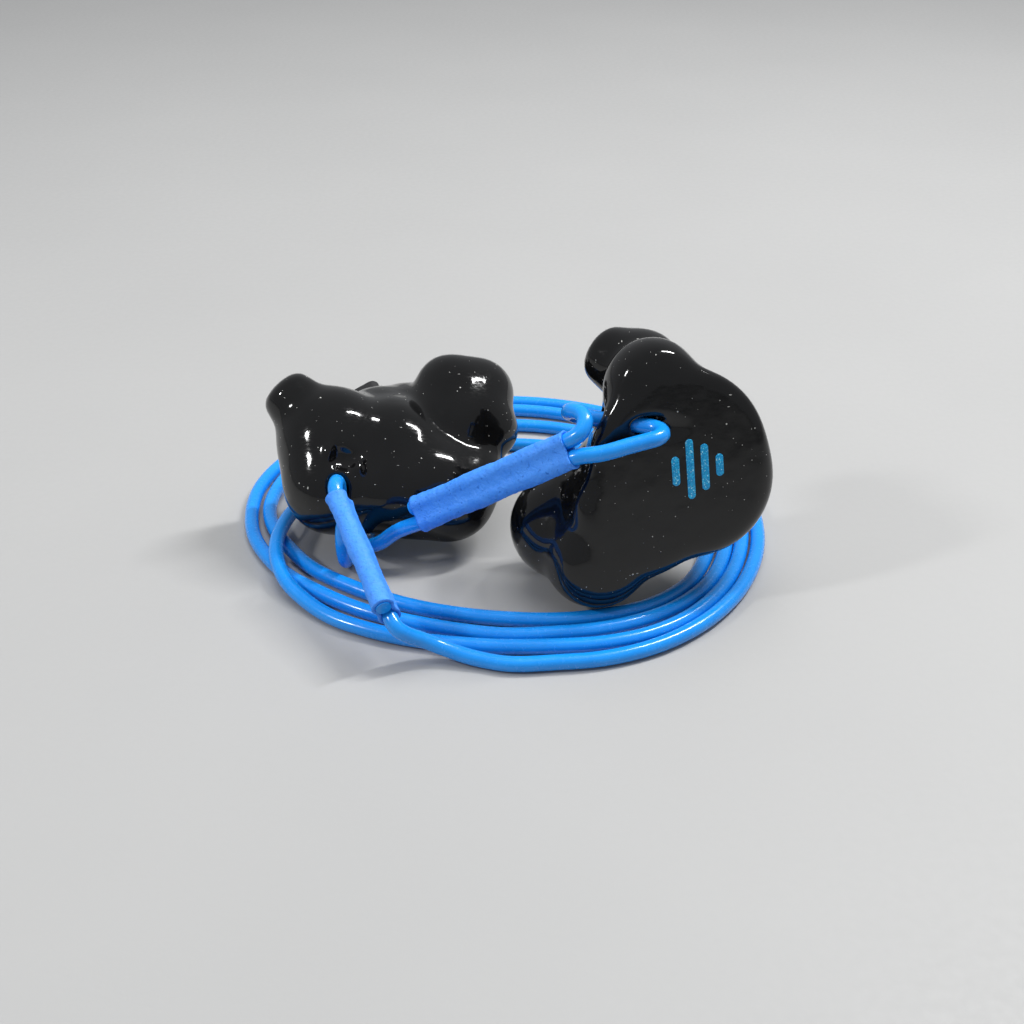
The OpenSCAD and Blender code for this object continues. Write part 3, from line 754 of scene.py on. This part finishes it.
RIGHT_CANAL = [[5.3, 4.9, -5.9], [-3.3, 11.3, -15.5]]
LEFT_CANAL = [[-7, 6.4, -10.4], [-5.4, 14.1, -16.5]]
RIGHT_SOCKET_AT, RIGHT_SOCKET_TURN = [12.9, -8.5, -5], -33
LEFT_SOCKET_AT, LEFT_SOCKET_TURN = [3, 11.4, -4.3], 60
RIGHT_BOX = ((-17.5, -19, -20), (15.5, 16, 1))
LEFT_BOX = ((-20, -16, -21), (17, 18, 1.5))
LEFT_WEBS = [[-2.8, -0.6, -7.9, 4.2], [-1.5, 1.5, -6.8, 4.2]]  # fill the hollow under the saddle
right_skin = Skin(RIGHT_LOBES, RIGHT_EYE, RIGHT_CANAL, RIGHT_SOCKET_AT, RIGHT_SOCKET_TURN, seed=3)
left_skin = Skin(np.vstack([LEFT_LOBES, LEFT_WEBS]), LEFT_EYE, LEFT_CANAL,
                 LEFT_SOCKET_AT, LEFT_SOCKET_TURN, seed=4)
# funnel and wide dish round the right eye: (middle, reach, depth)
right_skin.eye_r, right_skin.mouth_round = 1.1, 0.9
right_skin.dents = [(RIGHT_EYE[0] + [1.3, -0.4, 0], 2, 1.1), (RIGHT_EYE[0] + [0.8, -0.2, 0], 4.4, 0.55)]
# crater pressed beside the left eye, with a rim of small lumps
left_skin.blend, left_skin.shrink = 1.0, 0.3
left_skin.eye_r, left_skin.mouth_round = 1.1, 0.7
CRATER = np.array([-10.3, -0.3, -13.8])
CRATER_WAY = [0.3, -0.5, -0.8]
LUMPS = 9
left_skin.dents = [(CRATER, 1.3, 1.4)]
crater_side = unit(np.cross(CRATER_WAY, [1, 0, 0]))
crater_up = unit(np.cross(crater_side, CRATER_WAY))
for i in range(LUMPS):
    a, r = 2 * math.pi * i / LUMPS + rng.uniform(-0.2, 0.2), rng.uniform(1.7, 2.2)
    spot = CRATER + r * (math.cos(a) * crater_side + math.sin(a) * crater_up)
    left_skin.dents.append((spot, rng.uniform(0.55, 0.8), rng.uniform(-0.5, -0.2)))
ear_piece("right", right, right_skin, *RIGHT_BOX)
ear_piece("left", left, left_skin, *LEFT_BOX)
emblem_piece("right", right, (4.4, -0.9))
emblem_piece("left", left, (-5.5, -3.5))

# ---------- table and lights (metres) ----------
TABLE_SIZE = 3
WORLD_COLOUR = (0.8, 0.82, 0.85, 1)
WORLD_STRENGTH = 0.42
bpy.ops.mesh.primitive_grid_add(x_subdivisions=8, y_subdivisions=8, size=TABLE_SIZE)
table = bpy.context.object
table.name = "table_top"
table.data.materials.append(table_top())


def soft_light(name, at, aim, size, watts, glossy=True):
    """A rectangular lamp; one that isn't glossy lights the scene without being mirrored in it."""
    data = bpy.data.lights.new(name, "AREA")
    data.shape = "RECTANGLE"
    data.size, data.size_y = size
    data.energy = watts
    lamp = bpy.data.objects.new(name, data)
    lamp.location = at
    lamp.rotation_euler = (Vector(aim) - Vector(at)).to_track_quat("-Z", "Y").to_euler()
    lamp.visible_glossy = glossy
    bpy.context.collection.objects.link(lamp)


soft_light("strip", at=(0.22, 0.11, 0.38), aim=(0, 0, 0.01), size=(0.025, 0.16), watts=1.5)
soft_light("side", at=(-0.32, -0.14, 0.28), aim=(0, 0, 0.01), size=(0.035, 0.05), watts=0.6)
soft_light("top", at=(0.02, 0.06, 0.55), aim=(0, 0, 0), size=(0.5, 0.5), watts=2.4, glossy=False)
bpy.context.scene.view_settings.view_transform = "Standard"
world = bpy.data.worlds.new("studio")
bpy.context.scene.world = world
world.use_nodes = True
background = world.node_tree.nodes["Background"]
background.inputs["Color"].default_value = WORLD_COLOUR
background.inputs["Strength"].default_value = WORLD_STRENGTH
